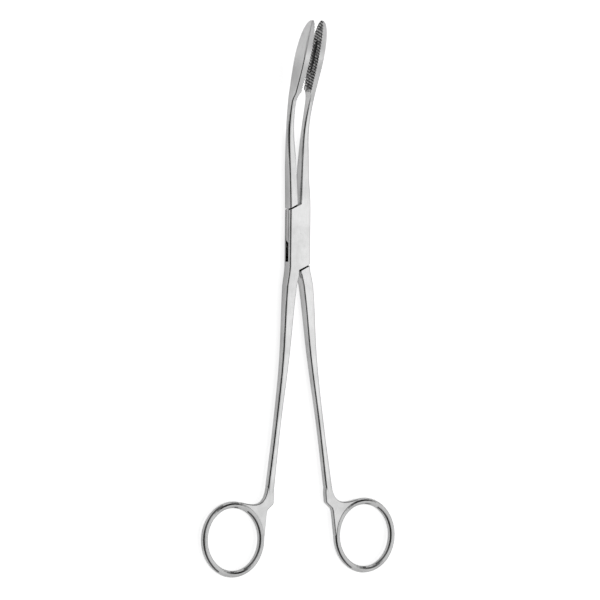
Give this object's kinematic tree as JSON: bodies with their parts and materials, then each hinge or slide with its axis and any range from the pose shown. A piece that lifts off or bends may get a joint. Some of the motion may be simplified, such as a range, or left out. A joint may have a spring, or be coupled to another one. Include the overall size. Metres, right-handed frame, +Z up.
{
  "type": "dressing forceps",
  "caption": "Long curved dressing forceps with a box lock, two finger rings and cross-serrated jaws with a central groove.",
  "frame": {"origin": "on the joint's axis, at the back face of the box, where the flush end of the pin lies", "axes": "+Y from the joint to the jaws' tips, +Z up along the joint's axis, out of the box's front, +X to the right seen from the front"},
  "size_m": [0.1106, 0.2635, 0.0216],
  "materials": {
    "box_arm_steel": "satin polished",
    "tenon_arm_steel": "satin polished",
    "pin_steel": "ground flush and polished"
  },
  "bodies": {
    "box_arm": {"box_arm": "box_arm_steel", "joint_pin": "pin_steel"},
    "tenon_arm": {"tenon_arm": "tenon_arm_steel"}
  },
  "joints": [
    {"name": "box_lock", "type": "hinge", "parent": "box_arm", "child": "tenon_arm", "pos_m": [0, 0, 0.0027], "axis": [0, 0, 1], "range_deg": [-2.2, 57]}
  ]
}
